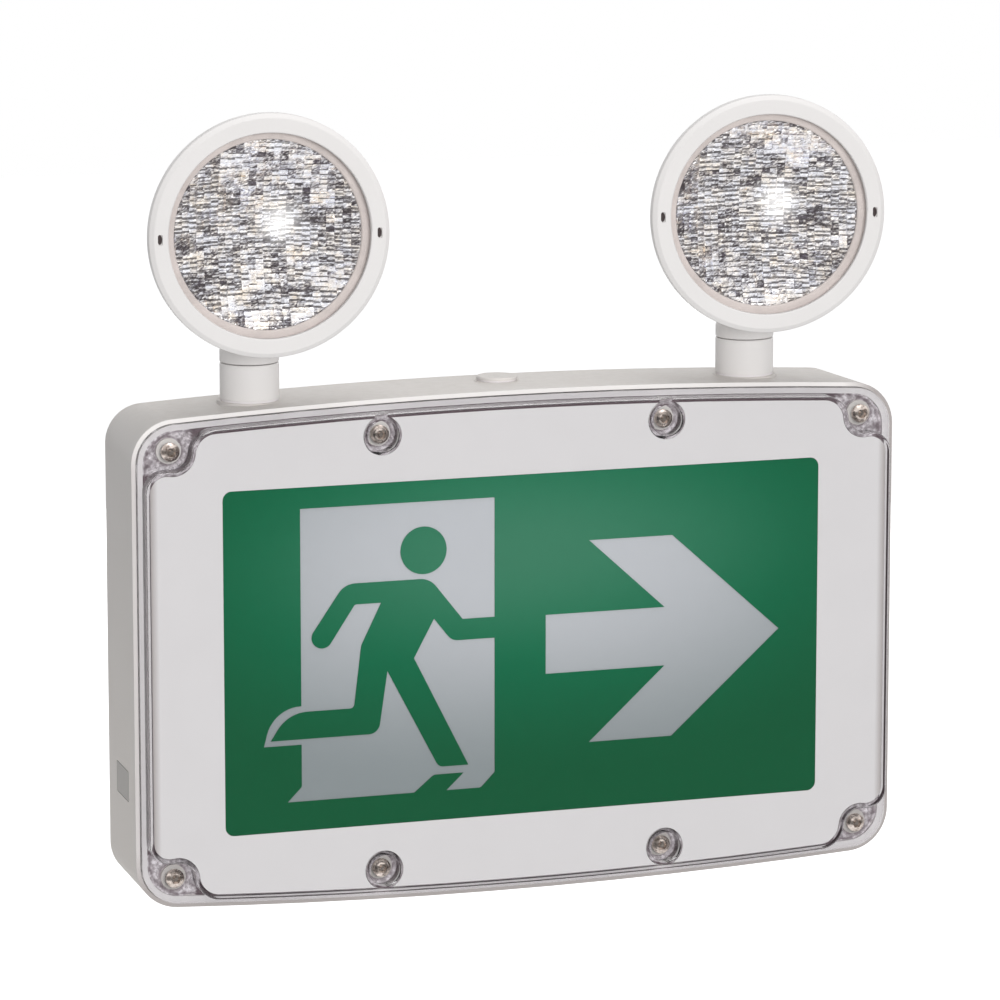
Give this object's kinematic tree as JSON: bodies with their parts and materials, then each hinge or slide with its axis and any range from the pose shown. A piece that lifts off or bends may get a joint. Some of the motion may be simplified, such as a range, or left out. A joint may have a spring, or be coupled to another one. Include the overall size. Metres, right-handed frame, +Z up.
{
  "type": "emergency exit light",
  "caption": "Wall-mounted sealed emergency exit light: running-figure and arrow legend behind a clear screwed cover, with adjustable lamp heads on short posts.",
  "frame": {"origin": "centre of the back face that lies against the wall", "axes": "+Z up, the front with the legend faces -Y, +X to the viewer's right"},
  "size_m": [0.347, 0.0779, 0.3467],
  "materials": {
    "housing": "fine texture, warm light grey moulding",
    "gasket": "soft black",
    "cover": "clear, smooth",
    "stainless": "stainless",
    "white_plate": "satin white",
    "green_print": "satin green",
    "opal": "opal, unlit",
    "tray_white": "white powder coat",
    "board_white": "white circuit board",
    "lamp_chip": "yellow phosphor",
    "battery_case": "black case",
    "zinc": "zinc plated",
    "board_green": "green circuit board",
    "core_iron": "varnished laminations",
    "coil": "taped copper winding",
    "black_part": "black component",
    "terminal_green": "green terminal block",
    "can": "sleeved can",
    "button_grey": "grey button",
    "head_white": "satin white",
    "lens": "clear, ribbed",
    "mirror": "vacuum-metallised facets"
  },
  "bodies": {
    "housing": {"back_box": "housing", "cover_gasket": "gasket", "clear_cover": "cover", "cover_screws": "stainless", "face_mask": "white_plate", "legend_film": "green_print", "light_panel": "opal", "reflector_tray": "tray_white", "tray_screws": "zinc", "upper_led_strip": "board_white", "lower_led_strip": "board_white", "strip_lamps": "lamp_chip", "battery": "battery_case", "battery_strap": "zinc", "strap_screws": "zinc", "charger_board": "board_green", "board_screws": "zinc", "transformer_core": "core_iron", "transformer_winding": "coil", "relay": "black_part", "terminal_block": "terminal_green", "capacitors": "can", "test_switch": "black_part", "conduit_plug": "housing", "plug_washer": "gasket", "left_post": "head_white", "left_post_seal": "gasket", "left_post_nut": "zinc", "right_post": "head_white", "right_post_seal": "gasket", "right_post_nut": "zinc"},
    "test_button": {"test_button": "button_grey"},
    "left_neck": {"left_neck": "head_white", "left_neck_clip": "zinc"},
    "left_head": {"left_tilt_screw": "stainless", "left_tilt_nut": "stainless", "left_head_shell": "head_white", "left_head_bezel": "head_white", "left_head_lens": "lens", "left_lens_seal": "gasket", "left_reflector": "mirror", "left_lamp_board": "board_white", "left_lamp_emitter": "lamp_chip"},
    "right_neck": {"right_neck": "head_white", "right_neck_clip": "zinc"},
    "right_head": {"right_tilt_screw": "stainless", "right_tilt_nut": "stainless", "right_head_shell": "head_white", "right_head_bezel": "head_white", "right_head_lens": "lens", "right_lens_seal": "gasket", "right_reflector": "mirror", "right_lamp_board": "board_white", "right_lamp_emitter": "lamp_chip"}
  },
  "joints": [
    {"name": "left_pan", "type": "hinge", "parent": "housing", "child": "left_neck", "pos_m": [-0.1137, -0.0278, 0.143], "axis": [0, 0, 1], "range_deg": [-56.5, 63.5]},
    {"name": "left_tilt", "type": "hinge", "parent": "left_neck", "child": "left_head", "pos_m": [-0.1137, -0.0278, 0.143], "axis": [0.9981, -0.061, 0], "range_deg": [-30, 25]},
    {"name": "right_pan", "type": "hinge", "parent": "housing", "child": "right_neck", "pos_m": [0.1137, -0.0278, 0.143], "axis": [0, 0, 1], "range_deg": [-52.5, 67.5]},
    {"name": "right_tilt", "type": "hinge", "parent": "right_neck", "child": "right_head", "pos_m": [0.1137, -0.0278, 0.143], "axis": [0.9914, -0.1305, 0], "range_deg": [-30, 25]},
    {"name": "test_button_press", "type": "slide", "parent": "housing", "child": "test_button", "axis": [1, 0, 0], "range_m": [0, 0.0015], "stiffness_N_per_m": 400}
  ]
}
